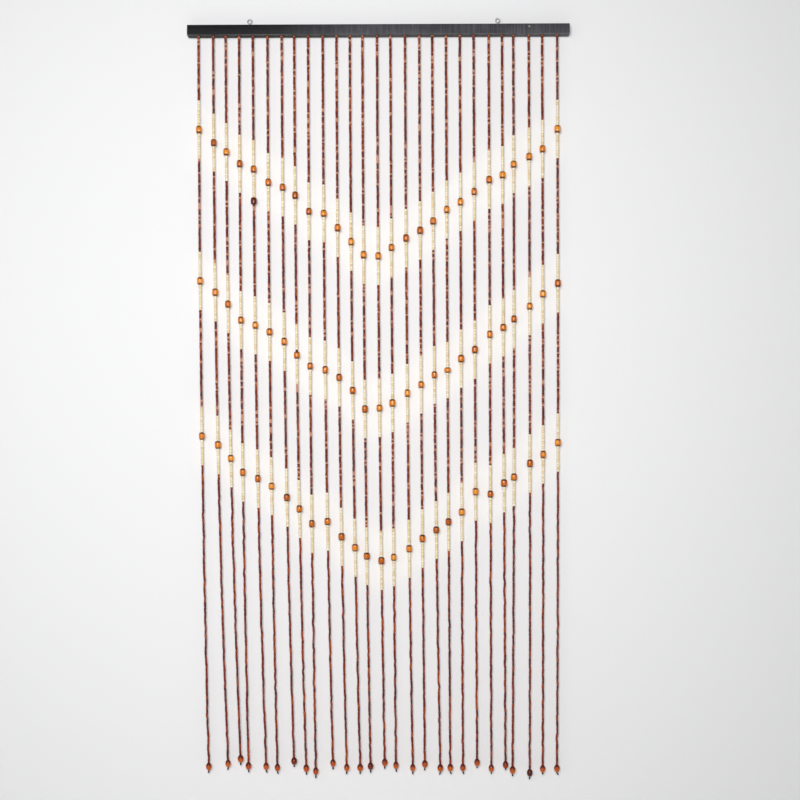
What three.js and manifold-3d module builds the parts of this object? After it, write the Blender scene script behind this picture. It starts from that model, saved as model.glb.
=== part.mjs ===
// Bead door curtain on a black wooden head bar.
// Lengths are in millimetres.
// +X runs along the bar to the viewer's right, +Y goes back to the wall, +Z is up.
// The origin is midway between the centres of the two screw eyes that the curtain hangs on.

import * as THREE from "three";
import { mergeVertices } from "three/addons/utils/BufferGeometryUtils.js";
import Module from "manifold-3d";

// Head bar: square section, a stopped groove along its top, a small flat planed on each long edge
const BAR_LENGTH = 900;
const BAR_SECTION = 24;
const BAR_ARRIS = 0.8;
const GROOVE_WIDTH = 8;
const GROOVE_DEPTH = 3.6;
const GROOVE_RUNS_PAST = 8;
const STRING_HOLE_RADIUS = 3.9;
const ROUND_HOLE_SIDES = 8;

// Screw eyes: places are measured from the bar's middle, heights from its top
const EYE_LEFT_PLACE = -305;
const EYE_RIGHT_PLACE = 282;
const EYE_BEHIND_MIDDLE = 7;
const EYE_HEIGHT = 13.5;
const EYE_RING_RADIUS = 4.8;
const EYE_WIRE_RADIUS = 1.1;
const EYE_SHANK_DEPTH = 12;
const EYE_HOLE_CLEARANCE = 0.5;
const EYE_RING_STEPS = 18;
const EYE_WIRE_SIDES = 8;

// Strands: depths are measured down from the bar's top
const FIRST_STRAND_PLACE = -425;
const STRAND_PITCH = 32.56;
const STRING_RADIUS = 0.9;
const UPPER_RUN_RADIUS = 3.1;
const LOWER_RUN_RADIUS = 2.7;
const RUN_SIDES = 4;
const RUN_BENDS = [1, 0.88, 0.76, 0.64, 0.5, 0.35, 0.2];
const SWAY_POWER = 2.4;
const FIRST_BEAD_INSIDE_HOLE = 2;
const FOOT_DEPTH = 1749;

// Head cord that the strings are tied to, lying in the groove
const HEAD_CORD_WIDTH = 3;
const HEAD_CORD_HEIGHT = 2.4;
const HEAD_CORD_CLEARANCE = 0.4;
const HEAD_CORD_RUNS_PAST = 5;

// Barrel beads stand in three V rows whose points are on the middle strand
const CHEVRON_POINT_DEPTH = 544;
const CHEVRON_ROW_PITCH = 359;
const CHEVRON_STEP = 23;
const LAST_ROW = 2;
const MIDDLE_STRAND = 13;
const CREAM_RUN_LENGTH = 59;
const BARREL_RADIUS = 7.4;
const BARREL_END_RADIUS = 4.6;
const BARREL_HALF_HEIGHT = 8.7;
const BARREL_SIDE_HALF_HEIGHT = 5;
const EXTRA_BARREL_STRAND = 4;
const EXTRA_BARREL_DEPTH = 413;
const BEAD_SIDES = 6;

// Drop bead at each foot, with the knot and tail of its string below it
const DROP_PROFILE = [
  { radius: 2.4, height: -8.8 },
  { radius: 6, height: -4.4 },
  { radius: 7, height: 0.4 },
  { radius: 3.2, height: 8.8 },
];
const TAIL_RADIUS = 1.8;
const TAIL_LENGTH = 6.3;
const TAIL_OVERLAP = 1.5;

// One row for each strand, left to right.
// shift: its hole's distance from an even pitch; rows: how far each barrel bead hangs below an even V;
// foot: how far its drop bead hangs below the usual foot; sway: how far the foot stands to the right.
const STRANDS = [
  { shift: 0, rows: [-1, -3, 4], foot: -2, sway: 17 },
  { shift: 2, rows: [7, 1, 2], foot: -9, sway: 28 },
  { shift: -1, rows: [6, 6, 11], foot: -20, sway: 28 },
  { shift: -2, rows: [11, 21, 21], foot: -3, sway: 15 },
  { shift: -2, rows: [1, 10, 13], foot: -2, sway: 24 },
  { shift: 0, rows: [9, 3, 8], foot: 1, sway: 16 },
  { shift: 1, rows: [-2, 3, 12], foot: -14, sway: 22 },
  { shift: -2, rows: [-6, 12, 16], foot: 3, sway: 21 },
  { shift: -2, rows: [9, 15, 28], foot: 10, sway: 11 },
  { shift: 0, rows: [-9, 1, 0], foot: -9, sway: 17 },
  { shift: 0, rows: [2, -4, 13], foot: 2, sway: 17 },
  { shift: -1, rows: [12, 4, 16], foot: 2, sway: 17 },
  { shift: -4, rows: [20, 25, 13], foot: -1, sway: 12 },
  { shift: -2, rows: [0, 0, 1], foot: -10, sway: 11 },
  { shift: -3, rows: [3, 11, 16], foot: -3, sway: 6 },
  { shift: -1, rows: [4, 11, 19], foot: 3, sway: 11 },
  { shift: 0, rows: [9, 14, 18], foot: -6, sway: 6 },
  { shift: -2, rows: [10, 14, 21], foot: 4, sway: 12 },
  { shift: -2, rows: [6, 26, 25], foot: 3, sway: 3 },
  { shift: -2, rows: [11, 22, 25], foot: 3, sway: 0 },
  { shift: -2, rows: [10, 24, 0], foot: -9, sway: 1 },
  { shift: 1, rows: [5, 11, 29], foot: 5, sway: -1 },
  { shift: 0, rows: [17, 18, 26], foot: -3, sway: 1 },
  { shift: -6, rows: [15, 21, 35], foot: 9, sway: -9 },
  { shift: -2, rows: [20, 14, 26], foot: 16, sway: -5 },
  { shift: -3, rows: [25, 8, 28], foot: 7, sway: -6 },
  { shift: 0, rows: [1, 6, 23], foot: 6, sway: -8 },
];

// Where the bar stands against the origin between the eyes
const BAR_MIDDLE_X = -(EYE_LEFT_PLACE + EYE_RIGHT_PLACE) / 2;
const BAR_MIDDLE_Y = -EYE_BEHIND_MIDDLE;
const BAR_TOP_Z = -EYE_HEIGHT;
const STRING_TOP_DEPTH = GROOVE_DEPTH - HEAD_CORD_CLEARANCE - HEAD_CORD_HEIGHT / 2;

const wasm = await Module();
wasm.setup();

// A closed geometry as a solid that can be joined and cut
function toSolid(geometry) {
  const bare = geometry.clone();
  bare.deleteAttribute("normal");
  bare.deleteAttribute("uv");
  const merged = mergeVertices(bare);
  const mesh = new wasm.Mesh({
    numProp: 3,
    vertProperties: merged.attributes.position.array,
    triVerts: merged.index.array,
  });
  return new wasm.Manifold(mesh);
}

// A joined or cut solid as a geometry again
function toGeometry(solid) {
  const mesh = solid.getMesh();
  const geometry = new THREE.BufferGeometry();
  geometry.setAttribute("position", new THREE.BufferAttribute(mesh.vertProperties, 3));
  geometry.setIndex(new THREE.BufferAttribute(mesh.triVerts, 1));
  geometry.computeVertexNormals();
  return geometry;
}

function joined(solids) {
  return solids.reduce((whole, solid) => whole.add(solid));
}

// An upright rod centred on a place, from one depth below the bar's top to another
function uprightRod(x, y, topDepth, bottomDepth, radius, sides) {
  const rod = new THREE.CylinderGeometry(radius, radius, bottomDepth - topDepth, sides);
  rod.rotateX(Math.PI / 2);
  rod.translate(x, y, BAR_TOP_Z - (topDepth + bottomDepth) / 2);
  return toSolid(rod);
}

// A shape turned about an upright axis, from its radius at each height, lowest first
function turned(profile, sides) {
  const lowest = profile[0].height;
  const highest = profile[profile.length - 1].height;
  const points = profile.map(({ radius, height }) => new THREE.Vector2(radius, height));
  const closedProfile = [new THREE.Vector2(0, lowest), ...points, new THREE.Vector2(0, highest)];
  const shape = new THREE.LatheGeometry(closedProfile, sides, Math.PI / 2);
  shape.rotateX(Math.PI / 2);
  return shape;
}

function strandPlace(index) {
  return BAR_MIDDLE_X + FIRST_STRAND_PLACE + index * STRAND_PITCH + STRANDS[index].shift;
}

function footDepth(index) {
  return FOOT_DEPTH + STRANDS[index].foot;
}

function barrelDepth(index, row) {
  const pointDepth = CHEVRON_POINT_DEPTH + row * CHEVRON_ROW_PITCH;
  const rise = CHEVRON_STEP * Math.abs(index - MIDDLE_STRAND);
  return pointDepth - rise + STRANDS[index].rows[row];
}

// How far a strand has leaned sideways at a depth: plumb at first, most of it near the foot
function leanAt(index, depth) {
  const share = Math.max(depth, 0) / footDepth(index);
  return STRANDS[index].sway * share ** SWAY_POWER;
}

function makeBar() {
  const half = BAR_SECTION / 2;
  const flat = half - BAR_ARRIS;
  const section = new THREE.Shape([
    new THREE.Vector2(half, flat),
    new THREE.Vector2(flat, half),
    new THREE.Vector2(-flat, half),
    new THREE.Vector2(-half, flat),
    new THREE.Vector2(-half, -flat),
    new THREE.Vector2(-flat, -half),
    new THREE.Vector2(flat, -half),
    new THREE.Vector2(half, -flat),
  ]);
  const beam = new THREE.ExtrudeGeometry(section, { depth: BAR_LENGTH, bevelEnabled: false });
  beam.translate(0, 0, -BAR_LENGTH / 2);
  beam.rotateY(Math.PI / 2);
  beam.translate(BAR_MIDDLE_X, BAR_MIDDLE_Y, BAR_TOP_Z - half);

  const last = STRANDS.length - 1;
  const grooveLength = strandPlace(last) - strandPlace(0) + 2 * GROOVE_RUNS_PAST;
  const groove = new THREE.BoxGeometry(grooveLength, GROOVE_WIDTH, 2 * GROOVE_DEPTH);
  groove.translate((strandPlace(0) + strandPlace(last)) / 2, BAR_MIDDLE_Y, BAR_TOP_Z);

  const stringHoles = STRANDS.map((strand, index) =>
    uprightRod(strandPlace(index), BAR_MIDDLE_Y, 0, 2 * BAR_SECTION, STRING_HOLE_RADIUS, ROUND_HOLE_SIDES));
  const eyeHoleRadius = EYE_WIRE_RADIUS + EYE_HOLE_CLEARANCE;
  const eyeHoleDepth = EYE_SHANK_DEPTH + EYE_HOLE_CLEARANCE;
  const eyeHoles = [EYE_LEFT_PLACE, EYE_RIGHT_PLACE].map((place) =>
    uprightRod(BAR_MIDDLE_X + place, 0, -eyeHoleDepth, eyeHoleDepth, eyeHoleRadius, ROUND_HOLE_SIDES));
  const openings = joined([toSolid(groove), ...stringHoles, ...eyeHoles]);
  return toGeometry(toSolid(beam).subtract(openings));
}

// A ring that faces the viewer, on a shank that goes down into the bar
function makeEye(place) {
  const x = BAR_MIDDLE_X + place;
  const ring = new THREE.TorusGeometry(EYE_RING_RADIUS, EYE_WIRE_RADIUS, EYE_WIRE_SIDES, EYE_RING_STEPS);
  ring.rotateX(Math.PI / 2);
  ring.translate(x, 0, 0);
  const ringFoot = EYE_RING_RADIUS - EYE_HEIGHT;
  const shank = uprightRod(x, 0, ringFoot, EYE_SHANK_DEPTH, EYE_WIRE_RADIUS, EYE_WIRE_SIDES);
  return toGeometry(joined([toSolid(ring), shank]));
}

// The string and its small beads as one four-sided run, leaning as the strand does
function makeRun(index) {
  const foot = footDepth(index);
  const slimmerBelow = barrelDepth(index, LAST_ROW) + CREAM_RUN_LENGTH;
  const firstBead = BAR_SECTION - FIRST_BEAD_INSIDE_HOLE;
  const stations = RUN_BENDS.map((share) => ({
    radius: share * foot > slimmerBelow ? LOWER_RUN_RADIUS : UPPER_RUN_RADIUS,
    height: -share * foot,
  }));
  stations.push({ radius: UPPER_RUN_RADIUS, height: -firstBead });
  stations.push({ radius: STRING_RADIUS, height: -firstBead });
  stations.push({ radius: STRING_RADIUS, height: -STRING_TOP_DEPTH });
  const run = turned(stations, RUN_SIDES);
  const position = run.attributes.position;
  for (let point = 0; point < position.count; point += 1) {
    position.setX(point, position.getX(point) + leanAt(index, -position.getZ(point)));
  }
  run.translate(strandPlace(index), BAR_MIDDLE_Y, BAR_TOP_Z);
  return toSolid(run);
}

function makeBead(profile, sides, index, depth) {
  const bead = turned(profile, sides);
  bead.translate(strandPlace(index) + leanAt(index, depth), BAR_MIDDLE_Y, BAR_TOP_Z - depth);
  return toSolid(bead);
}

function makeStrand(index) {
  const barrelProfile = [
    { radius: BARREL_END_RADIUS, height: -BARREL_HALF_HEIGHT },
    { radius: BARREL_RADIUS, height: -BARREL_SIDE_HALF_HEIGHT },
    { radius: BARREL_RADIUS, height: BARREL_SIDE_HALF_HEIGHT },
    { radius: BARREL_END_RADIUS, height: BARREL_HALF_HEIGHT },
  ];
  const dropBottom = DROP_PROFILE[0].height;
  const tailProfile = [
    { radius: TAIL_RADIUS, height: dropBottom - TAIL_LENGTH },
    { radius: TAIL_RADIUS, height: dropBottom + TAIL_OVERLAP },
  ];
  const depths = STRANDS[index].rows.map((drop, row) => barrelDepth(index, row));
  if (index === EXTRA_BARREL_STRAND) {
    depths.push(EXTRA_BARREL_DEPTH);
  }
  const barrels = depths.map((depth) => makeBead(barrelProfile, BEAD_SIDES, index, depth));
  const drop = makeBead(DROP_PROFILE, BEAD_SIDES, index, footDepth(index));
  const tail = makeBead(tailProfile, RUN_SIDES, index, footDepth(index));
  return joined([makeRun(index), ...barrels, drop, tail]);
}

// Every strand, with its root in the head cord
function makeStrands() {
  const last = STRANDS.length - 1;
  const cordLength = strandPlace(last) - strandPlace(0) + 2 * HEAD_CORD_RUNS_PAST;
  const cord = new THREE.BoxGeometry(cordLength, HEAD_CORD_WIDTH, HEAD_CORD_HEIGHT);
  cord.translate((strandPlace(0) + strandPlace(last)) / 2, BAR_MIDDLE_Y, BAR_TOP_Z - STRING_TOP_DEPTH);
  const strands = STRANDS.map((strand, index) => makeStrand(index));
  return toGeometry(joined([toSolid(cord), ...strands]));
}

const blackPaintedWood = new THREE.MeshStandardMaterial({ color: 0x2c2b2e, roughness: 0.5, metalness: 0 });
const zincWire = new THREE.MeshStandardMaterial({ color: 0xb9b7b6, roughness: 0.3, metalness: 1 });
const brownBeads = new THREE.MeshStandardMaterial({ color: 0x6a2a1a, roughness: 0.45, metalness: 0 });

function named(name, geometry, material) {
  const mesh = new THREE.Mesh(geometry, material);
  mesh.name = name;
  return mesh;
}

const group = new THREE.Group();
group.add(named("head_bar", makeBar(), blackPaintedWood));
group.add(named("hanging_eye_left", makeEye(EYE_LEFT_PLACE), zincWire));
group.add(named("hanging_eye_right", makeEye(EYE_RIGHT_PLACE), zincWire.clone()));
group.add(named("bead_strands", makeStrands(), brownBeads));

export default group;
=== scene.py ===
# %% [markdown]
# # A bead door curtain on its black bar
# The curtain is twenty-seven strings of small turned wooden beads that hang from a square painted bar.
# The solids of the same curtain are loaded first, in metres. They give the bar and the two screw eyes their
# places, and each piece that is modelled here stands for one of them and is far finer than it.

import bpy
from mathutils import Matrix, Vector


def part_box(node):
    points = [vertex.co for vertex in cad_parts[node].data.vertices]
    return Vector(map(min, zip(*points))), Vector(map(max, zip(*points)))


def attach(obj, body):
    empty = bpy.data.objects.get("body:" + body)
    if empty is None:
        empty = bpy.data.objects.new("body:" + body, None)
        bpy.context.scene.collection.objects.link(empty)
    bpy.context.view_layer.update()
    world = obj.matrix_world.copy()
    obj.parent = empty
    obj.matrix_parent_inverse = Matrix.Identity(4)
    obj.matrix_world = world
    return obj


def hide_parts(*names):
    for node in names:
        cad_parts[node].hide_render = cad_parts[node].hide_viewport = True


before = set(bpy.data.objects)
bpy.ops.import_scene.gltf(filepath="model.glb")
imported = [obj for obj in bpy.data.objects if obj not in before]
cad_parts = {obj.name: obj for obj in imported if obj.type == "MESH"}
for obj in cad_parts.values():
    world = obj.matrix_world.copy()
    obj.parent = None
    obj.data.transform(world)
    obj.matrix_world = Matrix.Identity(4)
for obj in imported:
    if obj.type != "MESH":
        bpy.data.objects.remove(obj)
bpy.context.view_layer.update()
print("solids:", sorted(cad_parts))

# %% [markdown]
# ## Measures
# Everything is thought out in millimetres, as a maker would, and turned to Blender's metres at the last moment.
# Places along the bar are measured from its middle, and depths down from its top face.

# %% Measures of the bar
import math
from collections import namedtuple

import bpy
import numpy as np

MM = 0.001
bar_low, bar_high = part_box("head_bar")
bar_middle = (bar_low + bar_high) / 2
bar_size = bar_high - bar_low
print("bar size in mm:", [round(side / MM, 1) for side in bar_size])

# %% [markdown]
# ## The strands as a table
# Hand-made strands never hang quite evenly. Each row gives one strand, left to right: how far its hole is off an
# even pitch, how far its three barrel beads hang below an even V, how far its foot is below the usual foot, how far
# the foot has swung to the right, and how its tail of string slants and how long it is. The last number is how
# bright its drop bead is, from dark brown to orange. A table with named columns is easier to mend than code.

# %% Strand table
Strand = namedtuple("Strand", "shift rows foot sway slant tail drop_tone")
STRANDS = [
    Strand(0, (-1, -3, 4), -2, 17, -1, 6, 0.8),
    Strand(2, (7, 1, 2), -9, 28, -1, 6, 0.9),
    Strand(-1, (6, 6, 11), -20, 28, 0, 6, 0.8),
    Strand(-2, (11, 21, 21), -3, 15, 1, 6, 0.75),
    Strand(-2, (1, 10, 13), -2, 24, 2, 6, 0.85),
    Strand(0, (9, 3, 8), 1, 16, 2, 6, 0.7),
    Strand(1, (-2, 3, 12), -14, 22, 0, 5, 0.35),
    Strand(-2, (-6, 12, 16), 3, 21, 1, 6, 0.8),
    Strand(-2, (9, 15, 28), 10, 11, 0, 7, 0.7),
    Strand(0, (-9, 1, 0), -9, 17, 0, 6, 0.75),
    Strand(0, (2, -4, 13), 2, 17, -1, 6, 0.85),
    Strand(-1, (12, 4, 16), 2, 17, 0, 6, 0.8),
    Strand(-4, (20, 25, 13), -1, 12, 0, 6, 0.3),
    Strand(-2, (0, 0, 1), -10, 11, 0, 6, 0.7),
    Strand(-3, (3, 11, 16), -3, 6, 1, 6, 0.8),
    Strand(-1, (4, 11, 19), 3, 11, 0, 6, 0.85),
    Strand(0, (9, 14, 18), -6, 6, -1, 6, 0.75),
    Strand(-2, (10, 14, 21), 4, 12, -2, 6, 0.8),
    Strand(-2, (6, 26, 25), 3, 3, 2, 6, 0.9),
    Strand(-2, (11, 22, 25), 3, 0, 2, 6, 0.7),
    Strand(-2, (10, 24, 0), -9, 1, 0, 4, 0.75),
    Strand(1, (5, 11, 29), 5, -1, 0, 4, 0.8),
    Strand(0, (17, 18, 26), -3, 1, 0, 3, 0.5),
    Strand(-6, (15, 21, 35), 9, -9, 0, 6, 0.85),
    Strand(-2, (20, 14, 26), 16, -5, -1, 6, 0.1),
    Strand(-3, (25, 8, 28), 7, -6, 0, 4, 0.8),
    Strand(0, (1, 6, 23), 6, -8, 3, 6, 0.8),
]
FIRST_STRAND_PLACE = -425
STRAND_PITCH = 32.56
FOOT_DEPTH = 1749
SWAY_POWER = 2.4
print(len(STRANDS), "strands")

# %% [markdown]
# A strand hangs plumb near the bar and drifts sideways towards its foot. A power of the depth gives that slow start.

# %% Where a strand hangs
def foot_depth(index):
    return FOOT_DEPTH + STRANDS[index].foot


def strand_place(index, depth):
    """How far along the bar a strand is at a depth, both in millimetres."""
    lean = STRANDS[index].sway * (max(depth, 0) / foot_depth(index)) ** SWAY_POWER
    return FIRST_STRAND_PLACE + index * STRAND_PITCH + STRANDS[index].shift + lean


print("first and last hole in mm:", strand_place(0, 0), round(strand_place(26, 0), 1))

# %% [markdown]
# ## Colours and nodes
# Colours are written as sRGB hex values, as an eye reads them, and one function turns them to the linear values that
# Blender calculates with. One more function adds any node, sets its options and fills or links its sockets, so a
# material reads from top to bottom as a list of nodes.

# %% Colour and node helpers
def linear(colour):
    parts = [int(colour[place : place + 2], 16) / 255 for place in (1, 3, 5)]
    return [part / 12.92 if part <= 0.04045 else ((part + 0.055) / 1.055) ** 2.4 for part in parts] + [1]


def add_node(tree, kind, inputs=None, stops=(), **options):
    """A new node: options by name, sockets by name or number, and the stops of a colour ramp in order."""
    added = tree.nodes.new(kind)
    for option, value in options.items():
        setattr(added, option, value)
    for socket, value in (inputs or {}).items():
        if isinstance(value, bpy.types.NodeSocket):
            tree.links.new(value, added.inputs[socket])
        else:
            added.inputs[socket].default_value = value
    for place, (share, colour) in enumerate(stops):
        ramp = added.color_ramp.elements
        stop = ramp[place] if place < 2 else ramp.new(share)
        stop.position = share
        stop.color = linear(colour)
    return added


def new_finish(name):
    """A material with only its shader, ready for nodes."""
    finish = bpy.data.materials.new(name)
    finish.use_nodes = True
    return finish, finish.node_tree, finish.node_tree.nodes["Principled BSDF"]


def repeats(millimetres):
    """How often a pattern of that size repeats in a metre."""
    return 1 / (millimetres * MM)


# Sockets of a Mix node that blends colours
FACTOR, FIRST, SECOND, BLEND = 0, 6, 7, 2

# %% [markdown]
# ## The bar: shape
# The real bar is a planed square batten with a groove along its top for the cord that the strings are tied to, and
# a drilled hole for each string. It is made here in the same order: a block, its edges eased with a bevel, then the
# groove and the holes cut with Boolean modifiers. Cutting with tools that look like the saw and the drill keeps the
# faces flat and the hole walls clean.

# %% Block with eased edges
EDGE_EASE = 0.8
bpy.ops.mesh.primitive_cube_add(size=1, location=bar_middle, scale=bar_size)
bar = bpy.context.object
bar.name = "painted_head_bar"
bpy.ops.object.transform_apply(location=True, rotation=True, scale=True)
bpy.ops.object.mode_set(mode="EDIT")
bpy.ops.mesh.select_all(action="SELECT")
bpy.ops.mesh.bevel(offset=EDGE_EASE * MM, segments=3, profile=0.5, affect="EDGES")
bpy.ops.object.mode_set(mode="OBJECT")
print("block:", len(bar.data.polygons), "faces")

# %% Groove and string holes
GROOVE_WIDTH, GROOVE_DEPTH, GROOVE_RUNS_PAST = 8, 3.6, 8
HOLE_RADIUS, RIM_EASE = 3.9, 0.7


def cut_away(piece, cutter):
    """Cuts one mesh out of another, and clears the cutter away."""
    cut = piece.modifiers.new("cut", "BOOLEAN")
    cut.operation = "DIFFERENCE"
    cut.solver = "EXACT"
    cut.object = cutter
    bpy.context.view_layer.objects.active = piece
    bpy.ops.object.modifier_apply(modifier=cut.name)
    bpy.data.objects.remove(cutter)


first_hole, last_hole = strand_place(0, 0), strand_place(len(STRANDS) - 1, 0)
groove_middle = (bar_middle.x + (first_hole + last_hole) / 2 * MM, bar_middle.y, bar_high.z)
groove_size = (last_hole - first_hole + 2 * GROOVE_RUNS_PAST, GROOVE_WIDTH, 2 * GROOVE_DEPTH)
bpy.ops.mesh.primitive_cube_add(size=MM, location=groove_middle, scale=groove_size)
cut_away(bar, bpy.context.object)

bpy.ops.object.select_all(action="DESELECT")
drills = []
for index in range(len(STRANDS)):
    place = (bar_middle.x + strand_place(index, 0) * MM, bar_middle.y, bar_middle.z)
    bpy.ops.mesh.primitive_cylinder_add(vertices=20, radius=HOLE_RADIUS * MM, depth=2 * bar_size.z, location=place)
    drills.append(bpy.context.object)
for drill in drills:
    drill.select_set(True)
bpy.ops.object.join()
cut_away(bar, bpy.context.object)
print("cut bar:", len(bar.data.polygons), "faces")

# %% [markdown]
# A drill leaves a slightly broken rim that paint then rounds. The rim edges are found by their place, on the
# underside and within a hole's radius of its middle, and get a small bevel.

# %% Rounded hole mouths
bpy.ops.object.select_all(action="DESELECT")
bar.select_set(True)
bpy.context.view_layer.objects.active = bar
hole_middles = np.array([bar_middle.x + strand_place(index, 0) * MM for index in range(len(STRANDS))])


def on_hole_mouth(point):
    from_middle = math.hypot(np.abs(hole_middles - point.x).min(), point.y - bar_middle.y)
    return abs(point.z - bar_low.z) < 0.01 * MM and abs(from_middle - HOLE_RADIUS * MM) < 0.05 * MM


bpy.ops.object.mode_set(mode="EDIT")
bpy.ops.mesh.select_mode(type="EDGE")
bpy.ops.mesh.select_all(action="DESELECT")
bpy.ops.object.mode_set(mode="OBJECT")
for edge in bar.data.edges:
    edge.select = all(on_hole_mouth(bar.data.vertices[corner].co) for corner in edge.vertices)
print("rim edges:", sum(edge.select for edge in bar.data.edges))
bpy.ops.object.mode_set(mode="EDIT")
bpy.ops.mesh.bevel(offset=RIM_EASE * MM, segments=2, profile=0.5, affect="EDGES")
bpy.ops.object.mode_set(mode="OBJECT")
bpy.ops.object.shade_smooth_by_angle(angle=math.radians(35))

# %% [markdown]
# ## The bar: finish
# Satin black paint brushed on sawn softwood: a dark charcoal whose sheen shows the grain that runs along the bar.
# From the left third to the right end the paint is rubbed thin, so it is greyer and the upright saw marks show. The
# lower front edge is grey in a broken line, partly worn paint and partly a painted highlight where the eased edge
# catches the light. One small chip shows pale wood. All of it lies on Object coordinates, so it keeps its place.

# %% Satin black paint on sawn softwood
def paint_bar():
    finish, tree, shader = new_finish("satin_black_paint_on_softwood")
    place = add_node(tree, "ShaderNodeTexCoord").outputs["Object"]
    # Grain lines about 1.5 mm wide and 80 mm long, and saw marks about 3 mm apart across the bar
    along = add_node(tree, "ShaderNodeMapping", {"Vector": place, "Scale": (repeats(80), repeats(1.5), repeats(1.5))})
    grain = add_node(tree, "ShaderNodeTexNoise", {"Vector": along.outputs[0], "Scale": 1, "Detail": 5})
    across = add_node(tree, "ShaderNodeMapping", {"Vector": place, "Scale": (repeats(3), repeats(60), repeats(60))})
    saw = add_node(tree, "ShaderNodeTexNoise", {"Vector": across.outputs[0], "Scale": 1, "Detail": 3})
    # The left third kept its paint, and from there to the right end it is rubbed thin in clouds
    axes = add_node(tree, "ShaderNodeSeparateXYZ", {0: place})
    fade = add_node(
        tree,
        "ShaderNodeMapRange",
        {0: axes.outputs["X"], 1: -0.28, 2: -0.02, 3: 0.05, 4: 1},
        interpolation_type="SMOOTHSTEP",
    )
    cloud = add_node(tree, "ShaderNodeTexNoise", {"Vector": place, "Scale": repeats(70), "Detail": 3})
    worn = add_node(tree, "ShaderNodeMath", {0: fade.outputs[0], 1: cloud.outputs[0]}, operation="MULTIPLY")
    marks = add_node(tree, "ShaderNodeMapRange", {0: saw.outputs[0], 1: 0.35, 2: 0.65, 3: 0.7, 4: 1.3})
    thin = add_node(tree, "ShaderNodeMath", {0: worn.outputs[0], 1: marks.outputs[0]}, operation="MULTIPLY")
    paint = add_node(
        tree,
        "ShaderNodeValToRGB",
        {0: grain.outputs[0]},
        stops=[(0.3, "#131315"), (0.55, "#1b1b1d"), (0.8, "#29292d")],
    )
    rubbed = add_node(
        tree,
        "ShaderNodeMix",
        {FACTOR: thin.outputs[0], FIRST: paint.outputs[0], SECOND: linear("#5b5b61")},
        data_type="RGBA",
    )
    # The lower front edge is grey in a broken line: worn paint and a painted highlight on the eased edge
    front = add_node(tree, "ShaderNodeMath", {0: axes.outputs["Y"], 1: -0.0178}, operation="LESS_THAN")
    low = add_node(tree, "ShaderNodeMapRange", {0: axes.outputs["Z"], 1: -0.0373, 2: -0.0365, 3: 1, 4: 0})
    broken = add_node(tree, "ShaderNodeMapRange", {0: grain.outputs[0], 1: 0.35, 2: 0.65, 3: 0.1, 4: 0.9})
    strip = add_node(tree, "ShaderNodeMath", {0: front.outputs[0], 1: low.outputs[0]}, operation="MULTIPLY")
    edge_wear_and_highlight = add_node(tree, "ShaderNodeMath", {0: strip.outputs[0], 1: broken.outputs[0]}, operation="MULTIPLY")
    worn_and_lit_edge = add_node(
        tree,
        "ShaderNodeMix",
        {FACTOR: edge_wear_and_highlight.outputs[0], FIRST: rubbed.outputs[BLEND], SECOND: linear("#8a8a8c")},
        data_type="RGBA",
    )
    # Chip: one small place near the right end of the front where the paint is gone, with a ragged edge
    ragged = add_node(tree, "ShaderNodeTexNoise", {"Vector": place, "Scale": repeats(3), "Detail": 4})
    away = add_node(tree, "ShaderNodeVectorMath", {0: place, 1: (0.366, -0.019, -0.0205)}, operation="DISTANCE")
    edge = add_node(tree, "ShaderNodeMath", {0: ragged.outputs[0], 1: 4.4 * MM}, operation="MULTIPLY")
    bare = add_node(tree, "ShaderNodeMath", {0: away.outputs["Value"], 1: edge.outputs[0]}, operation="LESS_THAN")
    colour = add_node(
        tree,
        "ShaderNodeMix",
        {FACTOR: bare.outputs[0], FIRST: worn_and_lit_edge.outputs[BLEND], SECOND: linear("#97907f")},
        data_type="RGBA",
    )
    tree.links.new(colour.outputs[BLEND], shader.inputs["Base Color"])
    gloss = add_node(tree, "ShaderNodeMapRange", {0: grain.outputs[0], 1: 0.3, 2: 0.7, 3: 0.42, 4: 0.58})
    tree.links.new(gloss.outputs[0], shader.inputs["Roughness"])
    relief = add_node(tree, "ShaderNodeMath", {0: grain.outputs[0], 1: saw.outputs[0]}, operation="ADD")
    bump = add_node(tree, "ShaderNodeBump", {"Height": relief.outputs[0], "Distance": 0.15 * MM, "Strength": 0.6})
    tree.links.new(bump.outputs[0], shader.inputs["Normal"])
    shader.inputs["IOR"].default_value = 1.5
    shader.inputs["Specular IOR Level"].default_value = 0.15
    return finish


def keep_piece(piece, finish, node):
    """Gives a finished piece its material and its place in the frame."""
    piece.data.materials.clear()
    piece.data.materials.append(finish)
    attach(piece, "root")
    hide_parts(node)
    triangles = sum(len(face.vertices) - 2 for face in piece.data.polygons)
    print(piece.name, "has", triangles, "triangles")


keep_piece(bar, paint_bar(), "head_bar")

# %% [markdown]
# ## The screw eyes
# A screw eye is one length of wire: a straight shank, a short bend to the side, and then almost a full turn, whose
# cut end stops just short of the shank. Spin is the natural tool, as it carries a face round a centre just as the
# wire was bent round a pin. With a shank on the ring's own axis, the bend has to turn by acos(b / (b + r)), where b
# is the radius of the bend and r of the ring, for the wire to run smoothly from one arc into the other.

# %% Bend the wire eyes
EYE_WIRE_RADIUS, EYE_RING_RADIUS, EYE_BEND_RADIUS, EYE_SHANK_FOOT = 1.1, 4.8, 2.2, -25.5
RING_TURN_PAST_BEND = math.radians(248)
bend_turn = math.acos(EYE_BEND_RADIUS / (EYE_BEND_RADIUS + EYE_RING_RADIUS))
bend_start = -(EYE_BEND_RADIUS + EYE_RING_RADIUS) * math.sin(bend_turn)
ring_turn = RING_TURN_PAST_BEND + bend_turn


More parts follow.
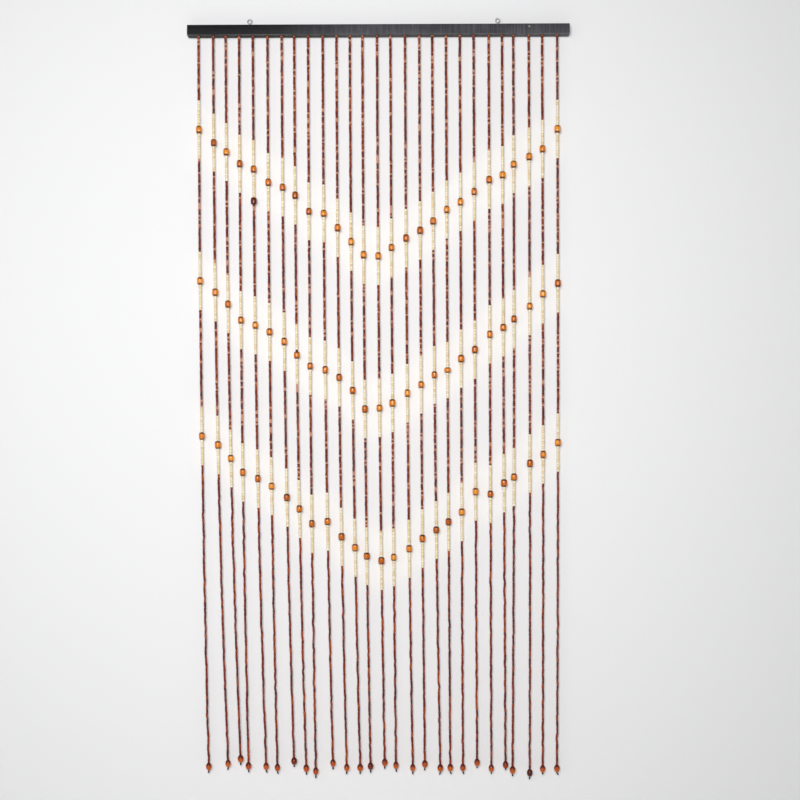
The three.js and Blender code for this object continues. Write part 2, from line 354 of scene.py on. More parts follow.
def bend_eye(name, node):
    low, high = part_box(node)
    middle = (low.x + high.x) / 2
    bpy.ops.object.select_all(action="DESELECT")
    bpy.ops.mesh.primitive_circle_add(
        vertices=14, radius=EYE_WIRE_RADIUS * MM, fill_type="NGON", location=(middle, 0, EYE_SHANK_FOOT * MM)
    )
    eye = bpy.context.object
    eye.name = name
    bpy.ops.object.transform_apply(location=True, rotation=True, scale=True)
    bpy.ops.object.mode_set(mode="EDIT")
    bpy.ops.mesh.select_mode(type="FACE")
    bpy.ops.mesh.select_all(action="SELECT")
    rise = (bend_start - EYE_SHANK_FOOT) * MM
    bpy.ops.mesh.extrude_region_move(TRANSFORM_OT_translate={"value": (0, 0, rise)})
    bend_middle = (middle + EYE_BEND_RADIUS * MM, 0, bend_start * MM)
    bpy.ops.mesh.spin(steps=7, angle=-bend_turn, center=bend_middle, axis=(0, 1, 0))
    bpy.ops.mesh.spin(steps=44, angle=ring_turn, center=(middle, 0, 0), axis=(0, 1, 0))
    bpy.ops.mesh.select_all(action="SELECT")
    bpy.ops.mesh.remove_doubles(threshold=0.01 * MM)
    bpy.ops.mesh.normals_make_consistent(inside=False)
    bpy.ops.object.mode_set(mode="OBJECT")
    bpy.ops.object.shade_smooth_by_angle(angle=math.radians(50))
    return eye


eyes = {node: bend_eye("wire_" + node, node) for node in ("hanging_eye_left", "hanging_eye_right")}
for eye in eyes.values():
    reach = [point.co for point in eye.data.vertices]
    print(eye.name, "top at", round(max(point.z for point in reach) / MM, 1), "mm")

# %% [markdown]
# Bright zinc plating is a bluish silver metal with a soft sheen, duller where it was gripped and bent. A metal needs
# only its colour, full metallic and a roughness that varies a little.

# %% Bright zinc plate
def plate_eyes():
    finish, tree, shader = new_finish("bright_zinc_plated_wire")
    place = add_node(tree, "ShaderNodeTexCoord").outputs["Object"]
    dull = add_node(tree, "ShaderNodeTexNoise", {"Vector": place, "Scale": repeats(2.5), "Detail": 3})
    tint = add_node(tree, "ShaderNodeValToRGB", {0: dull.outputs[0]}, stops=[(0.3, "#c2c1c3"), (0.7, "#dddcdc")])
    tree.links.new(tint.outputs[0], shader.inputs["Base Color"])
    sheen = add_node(tree, "ShaderNodeMapRange", {0: dull.outputs[0], 1: 0.3, 2: 0.7, 3: 0.62, 4: 0.48})
    tree.links.new(sheen.outputs[0], shader.inputs["Roughness"])
    shader.inputs["Metallic"].default_value = 1
    return finish


zinc = plate_eyes()
for node, eye in eyes.items():
    keep_piece(eye, zinc, node)

# %% [markdown]
# ## Turned beads
# Wooden beads are turned on a lathe. The same thing in edit mode is a disc that is extruded upwards again and again
# and resized each time to the radius that the bead has there. A profile of heights and radii in millimetres is then
# the whole recipe. There are thousands of small beads, so their models have eight sides and only 34 faces.

# %% Turn a bead from its profile
def turn_bead(name, sides, profile):
    bpy.ops.object.select_all(action="DESELECT")
    height, radius = profile[0]
    bpy.ops.mesh.primitive_circle_add(
        vertices=sides, radius=radius * MM, fill_type="NGON", location=(0, 0, height * MM)
    )
    bead = bpy.context.object
    bead.name = name
    bpy.ops.object.transform_apply(location=True, rotation=True, scale=True)
    bpy.ops.object.mode_set(mode="EDIT")
    bpy.ops.mesh.select_mode(type="FACE")
    bpy.ops.mesh.select_all(action="SELECT")
    for next_height, next_radius in profile[1:]:
        bpy.ops.mesh.extrude_region_move(TRANSFORM_OT_translate={"value": (0, 0, (next_height - height) * MM)})
        wider = next_radius / radius
        bpy.ops.transform.resize(value=(wider, wider, 1), center_override=(0, 0, next_height * MM))
        height, radius = next_height, next_radius
    bpy.ops.mesh.select_all(action="SELECT")
    bpy.ops.mesh.normals_make_consistent(inside=False)
    bpy.ops.object.mode_set(mode="OBJECT")
    print(name, "has", len(bead.data.polygons), "faces")
    return bead


oval_bead = turn_bead("oval_bead", 8, [(-2.2, 2.3), (-1.6, 3.05), (0, 3.25), (1.6, 3.05), (2.2, 2.3)])
tube_bead = turn_bead("tube_bead", 8, [(-3.1, 2.7), (-2.75, 3.15), (0, 3.25), (2.75, 3.15), (3.1, 2.7)])
slim_bead = turn_bead("slim_bead", 8, [(-5.5, 2.1), (-4.9, 2.65), (0, 2.8), (4.9, 2.65), (5.5, 2.1)])

# %% [markdown]
# ## Threading
# Thousands of separate bead objects would be slow to handle, so the copies of a model are joined as they are made:
# its points are laid out as an array once for each bead, turned, sized and moved, and become one mesh. An attribute
# called bead goes with every point. It tells the finish how bright this bead is and how far up it the point is. Its
# third number is drawn by chance, one for each bead, and is spare: no finish here reads it.

# %% Thread copies of a bead
Bead = namedtuple("Bead", "x y depth across along slope_x slope_y turn tone")
chance = np.random.default_rng(27)


def thread(name, model, beads):
    shape = model.data
    points = np.array([point.co for point in shape.vertices])
    corners = np.array([loop.vertex_index for loop in shape.loops])
    starts = np.array([face.loop_start for face in shape.polygons])
    x, y, depth, across, along, slope_x, slope_y, turn, tone = np.array(beads).T[:, :, None]
    up = points[:, 2] * along
    right = (np.cos(turn) * points[:, 0] - np.sin(turn) * points[:, 1]) * across
    back = (np.sin(turn) * points[:, 0] + np.cos(turn) * points[:, 1]) * across
    places = np.stack(
        [
            bar_middle.x + x * MM + right - slope_x * up,
            bar_middle.y + y * MM + back - slope_y * up,
            bar_high.z - depth * MM + up,
        ],
        axis=-1,
    )
    copies = np.arange(len(beads))[:, None]
    mesh = bpy.data.meshes.new(name)
    mesh.vertices.add(places.size // 3)
    mesh.vertices.foreach_set("co", places.ravel())
    mesh.loops.add(len(beads) * len(corners))
    mesh.loops.foreach_set("vertex_index", (corners + copies * len(points)).ravel())
    mesh.polygons.add(len(beads) * len(starts))
    mesh.polygons.foreach_set("loop_start", (starts + copies * len(corners)).ravel())
    mesh.update(calc_edges=True)
    share = (points[:, 2] - points[:, 2].min()) / np.ptp(points[:, 2])
    facts = np.stack(np.broadcast_arrays(tone, share, chance.random((len(beads), 1))), axis=-1)
    mesh.attributes.new("bead", "FLOAT_VECTOR", "POINT").data.foreach_set("vector", facts.ravel())
    piece = bpy.data.objects.new(name, mesh)
    bpy.context.collection.objects.link(piece)
    return piece


# %% [markdown]
# ## Runs of small beads
# From the bar down, a strand has brown beads, then a run of cream ones above and below each barrel bead, and slimmer
# red-brown tubes below the last cream run. A run is filled with beads of uneven length that together fit it exactly.
# The joints between them step a little to the side, so each bead leans from joint to joint as on a slack string.

# %% String a run between two depths
# The share of its place that a bead fills, with the joint taking the rest
BEAD_FILLS = 0.97


def string_run(index, top, bottom, length, uneven, kink, tones, pale=0):
    """The beads of one run: usual length, how it varies, side step of joints, range of tones, share of pale ones."""
    count = max(1, round((bottom - top) / length))
    lengths = chance.uniform(1 - uneven, 1 + uneven, count)
    lengths *= (bottom - top) / lengths.sum()
    joints = top + np.concatenate(([0], np.cumsum(lengths)))
    steps = chance.normal(0, kink, (2, count + 1))
    steps[:, [0, -1]] = 0
    x = np.array([strand_place(index, joint) for joint in joints]) + steps[0]
    y = steps[1]
    middle = (joints[1:] + joints[:-1]) / 2
    return [
        Bead(
            (x[n] + x[n + 1]) / 2,
            (y[n] + y[n + 1]) / 2,
            middle[n],
            chance.uniform(0.93, 1.06),
            lengths[n] / length * BEAD_FILLS,
            (x[n + 1] - x[n]) / lengths[n],
            (y[n + 1] - y[n]) / lengths[n],
            chance.uniform(0, math.tau),
            1 if chance.random() < pale else chance.uniform(*tones),
        )
        for n in range(count)
    ]


# %% [markdown]
# The barrel beads stand in three V rows whose points are on the middle strand. One strand has a stray dark barrel
# just under its first cream run, one has a brown bead above its second barrel, and one barrel is squat.

# %% Plan every strand from the bar down
CHEVRON_POINT_DEPTH, CHEVRON_ROW_PITCH, CHEVRON_STEP, MIDDLE_STRAND = 544, 359, 23, 13
CREAM_RUN, BARREL_HALF, DROP_HALF, FIRST_BEAD_DEPTH = 60, 8.7, 8.8, 22.4
OVAL_LENGTH, TUBE_LENGTH, SLIM_LENGTH = 4.4, 6.2, 11
STRAY_BARREL_STRAND, STRAY_BARREL_DEPTH = 4, 413
STRAY_BROWN_BEAD = (7, 1)
SQUAT_BARREL = (18, 1)
SQUAT_ALONG, SQUAT_ACROSS = 0.72, 1.12


def barrel_depth(index, row):
    even = CHEVRON_POINT_DEPTH + row * CHEVRON_ROW_PITCH - CHEVRON_STEP * abs(index - MIDDLE_STRAND)
    return even + STRANDS[index].rows[row]


def one_bead(index, depth, across=1.0, along=1.0, tone=0.5):
    """A bead that hangs straight on its strand."""
    slope = strand_place(index, depth + 1) - strand_place(index, depth)
    return Bead(strand_place(index, depth), 0, depth, across, along, slope, 0, chance.uniform(0, math.tau), tone)


brown_beads, cream_beads, slim_beads, barrels, drops = ([[] for _ in STRANDS] for _ in range(5))
for index in range(len(STRANDS)):
    top = FIRST_BEAD_DEPTH
    for row in range(3):
        depth = barrel_depth(index, row)
        squat = (index, row) == SQUAT_BARREL
        along = SQUAT_ALONG if squat else chance.uniform(0.94, 1.05)
        half = BARREL_HALF * along
        above = depth - half - (OVAL_LENGTH if (index, row) == STRAY_BROWN_BEAD else 0)
        # The first bead under the bar gets a bright red-orange tone, a painted highlight for the light it catches
        # there
        if row == 0:
            brown_beads[index] += string_run(index, top, top + OVAL_LENGTH, OVAL_LENGTH, 0, 0, (0.7, 0.85))
            top += OVAL_LENGTH
        brown_beads[index] += string_run(index, top, above - CREAM_RUN, OVAL_LENGTH, 0.22, 0.22, (0, 0.75), 0.16)
        cream_beads[index] += string_run(index, above - CREAM_RUN, above, TUBE_LENGTH, 0.3, 0.15, (0.15, 1))
        if above < depth - half:
            brown_beads[index] += string_run(index, above, depth - half, OVAL_LENGTH, 0, 0, (0.1, 0.2))
        across = SQUAT_ACROSS if squat else chance.uniform(0.93, 1.06)
        barrels[index].append(one_bead(index, depth, across, along, chance.uniform(0.4, 0.85)))
        top = depth + half + CREAM_RUN
        cream_beads[index] += string_run(index, depth + half, top, TUBE_LENGTH, 0.3, 0.15, (0.15, 1))
        if index == STRAY_BARREL_STRAND and row == 0:
            barrels[index].append(one_bead(index, STRAY_BARREL_DEPTH, 1, 1, 0.05))
            top = STRAY_BARREL_DEPTH + BARREL_HALF
    foot = foot_depth(index)
    slim_beads[index] += string_run(index, top, foot - DROP_HALF, SLIM_LENGTH, 0.4, 0.45, (0.2, 0.9))
    drops[index].append(one_bead(index, foot, chance.uniform(0.95, 1.05), 1, STRANDS[index].drop_tone))
print("small beads:", sum(len(run) for kind in (brown_beads, cream_beads, slim_beads) for run in kind))

# %% [markdown]
# Each kind becomes a piece of its own. The brown ones are the most, so the left and the right half of the curtain
# are two pieces, which keeps each one light enough to handle.

# %% Thread the small beads
def all_of(strands):
    return [bead for strand in strands for bead in strand]


small_pieces = {
    "brown_beads_left": thread("brown_beads_left", oval_bead, all_of(brown_beads[:MIDDLE_STRAND])),
    "brown_beads_right": thread("brown_beads_right", oval_bead, all_of(brown_beads[MIDDLE_STRAND:])),
    "slim_red_beads": thread("slim_red_beads", slim_bead, all_of(slim_beads)),
    "cream_beads": thread("cream_beads", tube_bead, all_of(cream_beads)),
}

# %% [markdown]
# ## Small beads: finish
# The brown beads are stained and varnished hardwood. Stain takes unevenly, so one bead is nearly black, the next
# red-brown and a few are pale, with streaks along the grain. The palest tone is partly pale wood and partly a painted
# highlight that stands in for varnish glints. The clear varnish gives each a bright glint.
# The colour comes from the bead's own tone and from fine noise drawn out along the bead.

# %% Red-brown stain under varnish
def stain_beads(name, stops, roughness):
    finish, tree, shader = new_finish(name)
    place = add_node(tree, "ShaderNodeTexCoord").outputs["Object"]
    bead = add_node(tree, "ShaderNodeAttribute", attribute_name="bead")
    facts = add_node(tree, "ShaderNodeSeparateXYZ", {0: bead.outputs["Vector"]})
    # Streaks about 1.2 mm wide and 5 mm long
    drawn = add_node(tree, "ShaderNodeMapping", {"Vector": place, "Scale": (repeats(1.2), repeats(1.2), repeats(5))})
    streak = add_node(tree, "ShaderNodeTexNoise", {"Vector": drawn.outputs[0], "Scale": 1, "Detail": 4})
    uneven = add_node(tree, "ShaderNodeMapRange", {0: streak.outputs[0], 1: 0.25, 2: 0.75, 3: -0.25, 4: 0.25})
    shade = add_node(tree, "ShaderNodeMath", {0: facts.outputs["X"], 1: uneven.outputs[0]}, operation="ADD")
    stain = add_node(tree, "ShaderNodeValToRGB", {0: shade.outputs[0]}, stops=stops)
    # Both ends are darker, where stain soaked into the end grain
    from_middle = add_node(tree, "ShaderNodeMath", {0: facts.outputs["Y"], 1: 0.5}, operation="SUBTRACT")
    reach = add_node(tree, "ShaderNodeMath", {0: from_middle.outputs[0]}, operation="ABSOLUTE")
    end = add_node(tree, "ShaderNodeMapRange", {0: reach.outputs[0], 1: 0.3, 2: 0.5, 3: 0, 4: 0.5})
    colour = add_node(
        tree,
        "ShaderNodeMix",
        {FACTOR: end.outputs[0], FIRST: stain.outputs[0], SECOND: linear("#4a130b")},
        data_type="RGBA",
    )
    tree.links.new(colour.outputs[BLEND], shader.inputs["Base Color"])
    sheen = add_node(
        tree, "ShaderNodeMapRange", {0: streak.outputs[0], 1: 0.3, 2: 0.7, 3: roughness - 0.06, 4: roughness + 0.08}
    )
    tree.links.new(sheen.outputs[0], shader.inputs["Roughness"])
    bump = add_node(tree, "ShaderNodeBump", {"Height": streak.outputs[0], "Distance": 0.1 * MM, "Strength": 0.5})
    tree.links.new(bump.outputs[0], shader.inputs["Normal"])
    shader.inputs["IOR"].default_value = 1.5
    shader.inputs["Specular IOR Level"].default_value = 0.3
    shader.inputs["Coat Weight"].default_value = 0.15
    shader.inputs["Coat Roughness"].default_value = 0.15
    return finish


# The lightest stop is partly a painted highlight: it stands in for the pale glints of the varnish
brown = stain_beads(
    "red_brown_stained_hardwood",
    [(0.0, "#5c190c"), (0.35, "#7d2a17"), (0.6, "#984024"), (0.82, "#bb6238"), (1.0, "#dfa585")],
    0.34,
)
red = stain_beads(
    "reddish_stained_hardwood",
    [(0.0, "#541005"), (0.4, "#751b08"), (0.7, "#8d2a0b"), (1.0, "#b65219")],
    0.36,
)
for name, finish in (("brown_beads_left", brown), ("brown_beads_right", brown), ("slim_red_beads", red)):
    keep_piece(small_pieces[name], finish, "bead_strands")

# %% [markdown]
# The cream beads are the same kind of wood left pale, under a thin satin lacquer. They run from ivory to straw, with
# fine darker growth lines along each tube and tan ends where two beads rub.

# %% Pale natural wood
def finish_cream():
    finish, tree, shader = new_finish("pale_natural_wood_satin")
    place = add_node(tree, "ShaderNodeTexCoord").outputs["Object"]
    bead = add_node(tree, "ShaderNodeAttribute", attribute_name="bead")
    facts = add_node(tree, "ShaderNodeSeparateXYZ", {0: bead.outputs["Vector"]})
    # Growth lines about 0.8 mm wide and 8 mm long
    drawn = add_node(tree, "ShaderNodeMapping", {"Vector": place, "Scale": (repeats(0.8), repeats(0.8), repeats(8))})
    line = add_node(tree, "ShaderNodeTexNoise", {"Vector": drawn.outputs[0], "Scale": 1, "Detail": 3})
    uneven = add_node(tree, "ShaderNodeMapRange", {0: line.outputs[0], 1: 0.3, 2: 0.7, 3: -0.15, 4: 0.15})
    shade = add_node(tree, "ShaderNodeMath", {0: facts.outputs["X"], 1: uneven.outputs[0]}, operation="ADD")
    wood = add_node(
        tree,
        "ShaderNodeValToRGB",
        {0: shade.outputs[0]},
        stops=[(0.0, "#e4c58c"), (0.25, "#f0d9a6"), (0.6, "#f7e6c0"), (1.0, "#fdf1d6")],
    )
    from_middle = add_node(tree, "ShaderNodeMath", {0: facts.outputs["Y"], 1: 0.5}, operation="SUBTRACT")
    reach = add_node(tree, "ShaderNodeMath", {0: from_middle.outputs[0]}, operation="ABSOLUTE")
    end = add_node(tree, "ShaderNodeMapRange", {0: reach.outputs[0], 1: 0.38, 2: 0.5, 3: 0, 4: 0.55})
    colour = add_node(
        tree,
        "ShaderNodeMix",
        {FACTOR: end.outputs[0], FIRST: wood.outputs[0], SECOND: linear("#c9a468")},
        data_type="RGBA",
    )
    tree.links.new(colour.outputs[BLEND], shader.inputs["Base Color"])
    sheen = add_node(tree, "ShaderNodeMapRange", {0: line.outputs[0], 1: 0.3, 2: 0.7, 3: 0.4, 4: 0.52})
    tree.links.new(sheen.outputs[0], shader.inputs["Roughness"])
    bump = add_node(tree, "ShaderNodeBump", {"Height": line.outputs[0], "Distance": 0.08 * MM, "Strength": 0.4})
    tree.links.new(bump.outputs[0], shader.inputs["Normal"])
    shader.inputs["IOR"].default_value = 1.5
    return finish


keep_piece(small_pieces["cream_beads"], finish_cream(), "bead_strands")

# %% [markdown]
# ## Barrel beads
# The large barrels have straight sides, well rounded ends and a hole for the string. Their profile starts inside the
# lower hole, comes out over the end, goes up the side and ends inside the upper hole, so the bead is closed all over.

# %% Barrel beads
BARREL_PROFILE = [
    (-6.9, 1.3),
    (-8.5, 1.6),
    (-8.7, 3.4),
    (-8.3, 4.9),
    (-7.3, 6.1),
    (-5.6, 6.9),
    (-3.0, 7.3),
    (0, 7.4),
    (3.0, 7.3),
    (5.6, 6.9),
    (7.3, 6.1),
    (8.3, 4.9),
    (8.7, 3.4),
    (8.5, 1.6),
    (6.9, 1.3),
]
barrel_bead = turn_bead("barrel_bead", 20, BARREL_PROFILE)
barrel_piece = thread("barrel_beads", barrel_bead, all_of(barrels))

# %% [markdown]
# Amber stain under a thick gloss varnish: warm orange round the belly, burnt to dark brown towards both ends, with
# the grain of the wood showing through. The tone of a bead shifts it between dark and honey-coloured.

# %% Amber stain under gloss varnish
def varnish_barrels():
    finish, tree, shader = new_finish("amber_stained_wood_gloss_varnish")
    place = add_node(tree, "ShaderNodeTexCoord").outputs["Object"]
    bead = add_node(tree, "ShaderNodeAttribute", attribute_name="bead")
    facts = add_node(tree, "ShaderNodeSeparateXYZ", {0: bead.outputs["Vector"]})
    # Grain lines about 1.6 mm wide that run the length of the bead
    drawn = add_node(tree, "ShaderNodeMapping", {"Vector": place, "Scale": (repeats(1.6), repeats(1.6), repeats(14))})
    grain = add_node(
        tree, "ShaderNodeTexNoise", {"Vector": drawn.outputs[0], "Scale": 1, "Detail": 4, "Distortion": 0.6}
    )
    uneven = add_node(tree, "ShaderNodeMapRange", {0: grain.outputs[0], 1: 0.3, 2: 0.7, 3: -0.18, 4: 0.18})
    shade = add_node(tree, "ShaderNodeMath", {0: facts.outputs["X"], 1: uneven.outputs[0]}, operation="ADD")
    amber = add_node(
        tree,
        "ShaderNodeValToRGB",
        {0: shade.outputs[0]},
        stops=[(0.0, "#5a1c0a"), (0.35, "#a84c10"), (0.65, "#de7c1a"), (1.0, "#f8aa40")],
    )
    from_middle = add_node(tree, "ShaderNodeMath", {0: facts.outputs["Y"], 1: 0.5}, operation="SUBTRACT")
    reach = add_node(tree, "ShaderNodeMath", {0: from_middle.outputs[0]}, operation="ABSOLUTE")
    ragged = add_node(tree, "ShaderNodeMath", {0: uneven.outputs[0], 1: 0.5}, operation="MULTIPLY")
    burnt = add_node(tree, "ShaderNodeMath", {0: reach.outputs[0], 1: ragged.outputs[0]}, operation="SUBTRACT")
    end = add_node(
        tree,
        "ShaderNodeMapRange",
        {0: burnt.outputs[0], 1: 0.19, 2: 0.42, 3: 0, 4: 0.95},
        interpolation_type="SMOOTHSTEP",
    )
    colour = add_node(
        tree,
        "ShaderNodeMix",
        {FACTOR: end.outputs[0], FIRST: amber.outputs[0], SECOND: linear("#4c1806")},
        data_type="RGBA",
    )
    tree.links.new(colour.outputs[BLEND], shader.inputs["Base Color"])
    sheen = add_node(tree, "ShaderNodeMapRange", {0: grain.outputs[0], 1: 0.3, 2: 0.7, 3: 0.24, 4: 0.36})
    tree.links.new(sheen.outputs[0], shader.inputs["Roughness"])
    bump = add_node(tree, "ShaderNodeBump", {"Height": grain.outputs[0], "Distance": 0.12 * MM, "Strength": 0.4})
    tree.links.new(bump.outputs[0], shader.inputs["Normal"])
    shader.inputs["IOR"].default_value = 1.5
    shader.inputs["Specular IOR Level"].default_value = 0.3
    shader.inputs["Coat Weight"].default_value = 0.6
    shader.inputs["Coat Roughness"].default_value = 0.12
    return finish


keep_piece(barrel_piece, varnish_barrels(), "bead_strands")

# %% [markdown]
# ## Drop beads
# Each strand ends in an egg-shaped drop, widest at its middle, that narrows to the hole where the string comes
# out. It is turned in the same way as the barrels.

# %% Drop beads
DROP_PROFILE = [
    (-8.0, 0.9),
    (-8.7, 1.1),
    (-8.8, 2.1),
    (-7.9, 3.6),
    (-6.2, 5.1),
    (-3.6, 6.3),
    (-0.6, 6.9),
    (1.8, 6.8),
    (4.2, 6.0),
    (6.2, 4.8),
    (7.8, 3.6),
    (8.8, 2.7),
    (8.7, 1.3),
    (8.0, 1.1),
]
drop_bead = turn_bead("drop_bead", 20, DROP_PROFILE)
drop_piece = thread("drop_beads", drop_bead, all_of(drops))

# %% [markdown]
# The drops are dipped: the upper third is a dark red-brown, and the point is clear orange. A few took the stain all
# over and are almost black.

# %% Dipped orange drops
def dip_drops():
    finish, tree, shader = new_finish("orange_dipped_wood_gloss_varnish")
    place = add_node(tree, "ShaderNodeTexCoord").outputs["Object"]
    bead = add_node(tree, "ShaderNodeAttribute", attribute_name="bead")
    facts = add_node(tree, "ShaderNodeSeparateXYZ", {0: bead.outputs["Vector"]})
    # Cloudy stain about 3 mm across
    cloud = add_node(tree, "ShaderNodeTexNoise", {"Vector": place, "Scale": repeats(3), "Detail": 4})
    uneven = add_node(tree, "ShaderNodeMapRange", {0: cloud.outputs[0], 1: 0.3, 2: 0.7, 3: -0.16, 4: 0.16})
    shade = add_node(tree, "ShaderNodeMath", {0: facts.outputs["X"], 1: uneven.outputs[0]}, operation="ADD")
    stain = add_node(
        tree,
        "ShaderNodeValToRGB",
        {0: shade.outputs[0]},
        stops=[(0.05, "#46100a"), (0.4, "#862804"), (0.7, "#ba4a00"), (1.0, "#d46604")],
    )
    level = add_node(tree, "ShaderNodeMath", {0: facts.outputs["Y"], 1: uneven.outputs[0]}, operation="ADD")
    dipped = add_node(
        tree,
        "ShaderNodeMapRange",
        {0: level.outputs[0], 1: 0.5, 2: 0.8, 3: 0, 4: 0.95},
        interpolation_type="SMOOTHSTEP",
    )
    colour = add_node(
        tree,
        "ShaderNodeMix",
        {FACTOR: dipped.outputs[0], FIRST: stain.outputs[0], SECOND: linear("#56140a")},
        data_type="RGBA",
    )
    tree.links.new(colour.outputs[BLEND], shader.inputs["Base Color"])
    sheen = add_node(tree, "ShaderNodeMapRange", {0: cloud.outputs[0], 1: 0.3, 2: 0.7, 3: 0.24, 4: 0.36})
    tree.links.new(sheen.outputs[0], shader.inputs["Roughness"])
    shader.inputs["IOR"].default_value = 1.5
    shader.inputs["Specular IOR Level"].default_value = 0.3
    shader.inputs["Coat Weight"].default_value = 0.3
    shader.inputs["Coat Roughness"].default_value = 0.1
    return finish


keep_piece(drop_piece, dip_drops(), "bead_strands")

# %% [markdown]
# ## String, knots and tails
# One string runs through each strand from the groove to the knot under its drop. It is threaded as short six-sided
# lengths that follow the strand, since hardly any of it shows between the beads. A knot is modelled once, as a small
# ball pinched into three turns, and used both in the groove and under the drops, and the tails slant as in the table.

# %% String and tails
STRING_LENGTH = 20
TAIL_MODEL_LENGTH = 6
string_model = turn_bead("string_model", 6, [(-STRING_LENGTH / 2, 0.6), (0, 0.6), (STRING_LENGTH / 2, 0.6)])
tail_model = turn_bead("tail_model", 8, [(-3, 1.3), (-2.6, 1.95), (-0.5, 1.75), (1.5, 1.65), (3, 1.5)])
KNOT_PROFILE = [
    (-1.9, 0.6),
    (-1.8, 1.2),
    (-1.2, 1.65),
    (-0.8, 1.4),
    (-0.2, 1.85),
    (0.3, 1.5),
    (0.9, 1.75),
    (1.5, 1.3),
    (1.8, 0.7),
]
knot_model = turn_bead("knot_model", 12, KNOT_PROFILE)
KNOT_HALF = 1.8
GROOVE_CORD_DEPTH = 2

string_lengths, knots, tails = [], [], []
for index, strand in enumerate(STRANDS):
    foot = foot_depth(index)
    string_lengths += string_run(index, GROOVE_CORD_DEPTH, foot + DROP_HALF, STRING_LENGTH, 0, 0, (0.3, 0.5))
    knots.append(one_bead(index, GROOVE_CORD_DEPTH, 1.15, 0.8, 0.5))
    knot_depth = foot + DROP_HALF + KNOT_HALF * 0.7
    knots.append(one_bead(index, knot_depth, chance.uniform(0.85, 1), 0.9, 0.4))
    tail = strand.tail - 1
    middle = knot_depth + tail / 2
    x = strand_place(index, foot) + strand.slant / 2
    tails.append(Bead(x, 0, middle, 1, tail / TAIL_MODEL_LENGTH, strand.slant / tail, 0, chance.uniform(0, 6), 0.4))
string_pieces = [
    thread("strings", string_model, string_lengths),
    thread("string_knots", knot_model, knots),
    thread("string_tails", tail_model, tails),
]

# %% [markdown]
# The head cord lies in the groove under the knots. It is a cylinder laid along the bar, whose
# ends are drawn in with an inset and a push so that it looks cut and bound.

# %% Head cord
HEAD_CORD_RADIUS, HEAD_CORD_RUNS_PAST = 1.4, 5
cord_length = last_hole - first_hole + 2 * HEAD_CORD_RUNS_PAST
bpy.ops.object.select_all(action="DESELECT")
bpy.ops.mesh.primitive_cylinder_add(
    vertices=12,
    radius=HEAD_CORD_RADIUS * MM,
    depth=cord_length * MM,
    rotation=(0, math.radians(90), 0),
    location=(groove_middle[0], bar_middle.y, bar_high.z - GROOVE_CORD_DEPTH * MM),
)
head_cord = bpy.context.object
head_cord.name = "head_cord"
bpy.ops.object.transform_apply(location=True, rotation=True, scale=True)
bpy.ops.object.mode_set(mode="EDIT")
bpy.ops.mesh.select_mode(type="FACE")
bpy.ops.mesh.select_all(action="DESELECT")
bpy.ops.object.mode_set(mode="OBJECT")
for face in head_cord.data.polygons:
    face.select = abs(face.normal.x) > 0.9
bpy.ops.object.mode_set(mode="EDIT")
bpy.ops.mesh.inset(thickness=0.4 * MM, depth=0.5 * MM)
bpy.ops.object.mode_set(mode="OBJECT")
bpy.ops.object.shade_smooth_by_angle(angle=math.radians(50))

# %% [markdown]
# String and cord are dark brown waxed cotton. Its twist is too fine for the camera, so it is drawn at twice its size:
# slanted bands that darken the hollows between the plies, a painted shade where the twist would shade itself.

# %% Waxed cotton
def wax_string():
    finish, tree, shader = new_finish("dark_brown_waxed_cotton")
    place = add_node(tree, "ShaderNodeTexCoord").outputs["Object"]
    slanted = add_node(tree, "ShaderNodeMapping", {"Vector": place, "Rotation": (0, math.radians(40), 0)})
    ply = add_node(
        tree, "ShaderNodeTexWave", {"Vector": slanted.outputs[0], "Scale": repeats(1.4) / 20, "Distortion": 1.5}
    )
    # The dark stop is painted shade in the hollows between the plies
    colour = add_node(tree, "ShaderNodeValToRGB", {0: ply.outputs["Fac"]}, stops=[(0.1, "#180d03"), (0.8, "#38220a")])
    tree.links.new(colour.outputs[0], shader.inputs["Base Color"])
    bump = add_node(tree, "ShaderNodeBump", {"Height": ply.outputs["Fac"], "Distance": 0.2 * MM})
    tree.links.new(bump.outputs[0], shader.inputs["Normal"])
    shader.inputs["Roughness"].default_value = 0.7
    shader.inputs["IOR"].default_value = 1.45
    shader.inputs["Specular IOR Level"].default_value = 0.2
    return finish


waxed = wax_string()
for piece in string_pieces + [head_cord]:
    keep_piece(piece, waxed, "bead_strands")
for model in (oval_bead, tube_bead, slim_bead, barrel_bead, drop_bead, string_model, tail_model, knot_model):
    bpy.data.objects.remove(model)

# %% [markdown]
# ## Stage
# A pale floor below the feet and a pale backdrop close behind make a plain bright studio. Both are painted on their
# front side only: from behind they are clear, so a camera on the far side still sees the curtain.

# %% Floor and backdrop
def stage_paint(name, colour):
    finish, tree, shader = new_finish(name)
    place = add_node(tree, "ShaderNodeTexCoord").outputs["Object"]
    mottle = add_node(tree, "ShaderNodeTexNoise", {"Vector": place, "Scale": repeats(400), "Detail": 2})
    tint = add_node(tree, "ShaderNodeMapRange", {0: mottle.outputs[0], 3: 0.985, 4: 1})
    pale = add_node(
        tree,
        "ShaderNodeMix",
        {FACTOR: tint.outputs[0], FIRST: linear("#d0d0d0"), SECOND: linear(colour)},
        data_type="RGBA",
    )
    tree.links.new(pale.outputs[BLEND], shader.inputs["Base Color"])
    shader.inputs["Roughness"].default_value = 0.9
    clear = add_node(tree, "ShaderNodeBsdfTransparent")
    side = add_node(tree, "ShaderNodeNewGeometry")
    both = add_node(
        tree, "ShaderNodeMixShader", {0: side.outputs["Backfacing"], 1: shader.outputs[0], 2: clear.outputs[0]}
    )
    tree.links.new(both.outputs[0], tree.nodes["Material Output"].inputs["Surface"])
    return finish


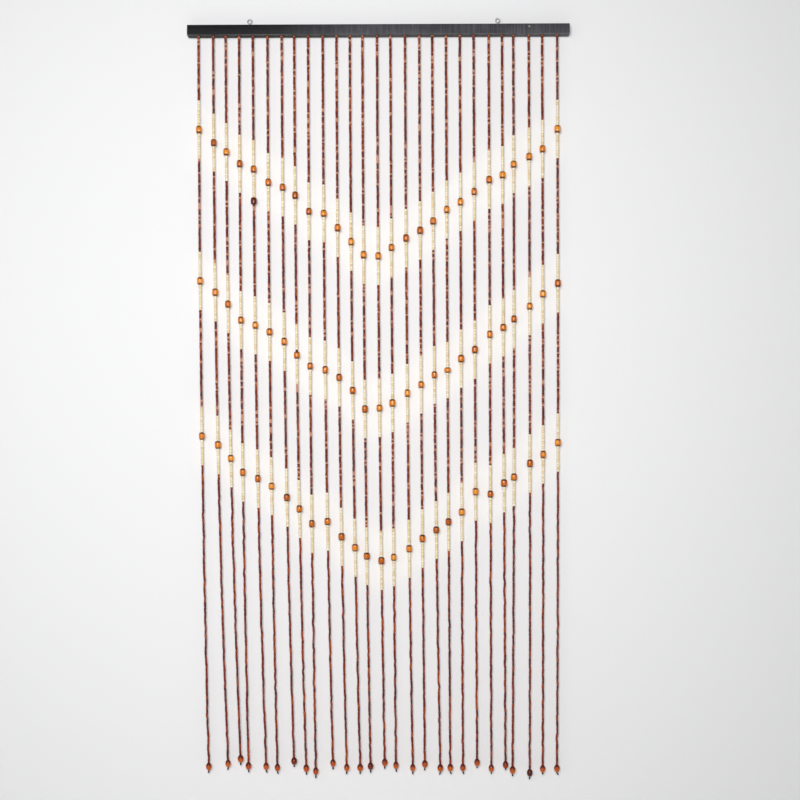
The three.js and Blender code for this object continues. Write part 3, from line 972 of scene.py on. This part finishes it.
STAGE_SIZE = 8
BACKDROP_BEHIND_BAR = 0.006
FLOOR_BELOW_BAR = 2.1
floor_height = bar_high.z - FLOOR_BELOW_BAR
backdrop_place = bar_high.y + BACKDROP_BEHIND_BAR
bpy.ops.mesh.primitive_plane_add(
    size=STAGE_SIZE,
    location=(0, backdrop_place, floor_height + STAGE_SIZE / 2),
    rotation=(math.radians(90), 0, 0),
)
backdrop = bpy.context.object
backdrop.name = "backdrop"
bpy.ops.mesh.primitive_plane_add(size=STAGE_SIZE, location=(0, backdrop_place - STAGE_SIZE / 2, floor_height))
floor = bpy.context.object
floor.name = "floor"
backdrop.data.materials.append(stage_paint("matt_pale_backdrop", "#f0f0f1"))
floor.data.materials.append(stage_paint("matt_pale_floor", "#dcdcd9"))

# %% [markdown]
# A large soft lamp stands close to the camera, so most of each strand's shadow hides behind the strand and the edges
# of the round beads darken. A weaker one from the left adds a faint shadow to the right, and a dim pale surround
# lifts the rest. The surround is hidden from reflections, which would lay a white veil over the dark varnish.

# %% Soft lamps
def soft_lamp(name, place, size, power, target):
    bpy.ops.object.light_add(type="AREA", location=place)
    lamp = bpy.context.object
    lamp.name = name
    lamp.data.shape = "SQUARE"
    lamp.data.size = size
    lamp.data.energy = power
    aim = np.array(target) - np.array(place)
    lamp.rotation_euler = (math.acos(-aim[2] / np.linalg.norm(aim)), 0, math.atan2(-aim[0], aim[1]))


curtain_middle = (bar_middle.x, 0, bar_high.z - 0.8)
soft_lamp("key_lamp", (-0.15, -3.0, -0.45), 1.0, 76, (-0.15, 0, -0.45))
soft_lamp("side_lamp", (-1.7, -2.2, -0.3), 1.4, 7, curtain_middle)
surround = bpy.data.worlds.new("pale_surround")
bpy.context.scene.world = surround
surround.use_nodes = True
# The surround gives little light, but a camera that looks past the stage sees it pale
rays = add_node(surround.node_tree, "ShaderNodeLightPath")
seen = add_node(surround.node_tree, "ShaderNodeMapRange", {0: rays.outputs["Is Camera Ray"], 3: 0.135, 4: 0.8})
surround_shader = surround.node_tree.nodes["Background"]
surround_shader.inputs["Color"].default_value = linear("#f4f6f8")
surround.node_tree.links.new(seen.outputs[0], surround_shader.inputs["Strength"])
surround.cycles_visibility.glossy = False
bpy.context.scene.view_settings.view_transform = "Standard"

# %% [markdown]
# ## Camera
# The picture is taken from 2.7 m in front of the bar, at half the curtain's height and a little right of its middle,
# level, and tipped by a quarter of a degree.

# %% Camera
CAMERA_AWAY, CAMERA_RIGHT, CAMERA_BELOW_BAR = 2.70, 0.047, 0.884
camera_place = (bar_middle.x + CAMERA_RIGHT, bar_low.y - CAMERA_AWAY, bar_high.z - CAMERA_BELOW_BAR)
bpy.ops.object.camera_add(location=camera_place, rotation=(math.radians(90), 0, 0))
camera = bpy.context.object
camera.name = "front_camera"
camera.data.sensor_width = 36
camera.data.lens = 51.7
camera.rotation_euler.rotate_axis("Z", math.radians(-0.25))
bpy.context.scene.camera = camera
print("camera at", [round(part, 3) for part in camera_place])
